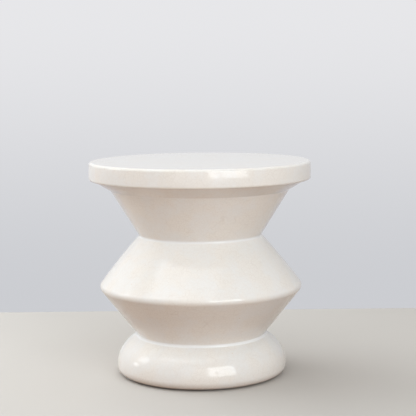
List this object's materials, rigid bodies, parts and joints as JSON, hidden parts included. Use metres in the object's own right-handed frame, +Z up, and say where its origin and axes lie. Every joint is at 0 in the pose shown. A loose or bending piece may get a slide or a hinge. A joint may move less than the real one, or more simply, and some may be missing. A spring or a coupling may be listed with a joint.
{
  "type": "ceramic garden stool",
  "caption": "Round glazed ceramic stool with a flat seat, a pinched double-cone body, a domed foot ring and a hollow open underneath.",
  "frame": {"origin": "on the floor, on the stool's own axis, at the undersides of the foot pads", "axes": "+Z up along the axis of the turned form; it is the same all round, so +X and +Y are only level directions"},
  "size_m": [0.42, 0.42, 0.4065],
  "materials": {
    "cream_glaze": "glossy, finely crackled",
    "bare_clay": "matt biscuit, unglazed",
    "clear_bumper": "soft translucent"
  },
  "bodies": {
    "root": {"seat_cap": "cream_glaze", "upper_cone": "cream_glaze", "shoulder_cone": "cream_glaze", "belly_cone": "cream_glaze", "foot_ring": "cream_glaze", "seat_luting_coil": "bare_clay", "neck_luting_coil": "bare_clay", "ridge_luting_coil": "bare_clay", "waist_luting_coil": "bare_clay", "foot_pad_1": "clear_bumper", "foot_pad_2": "clear_bumper", "foot_pad_3": "clear_bumper", "foot_pad_4": "clear_bumper"}
  },
  "joints": []
}
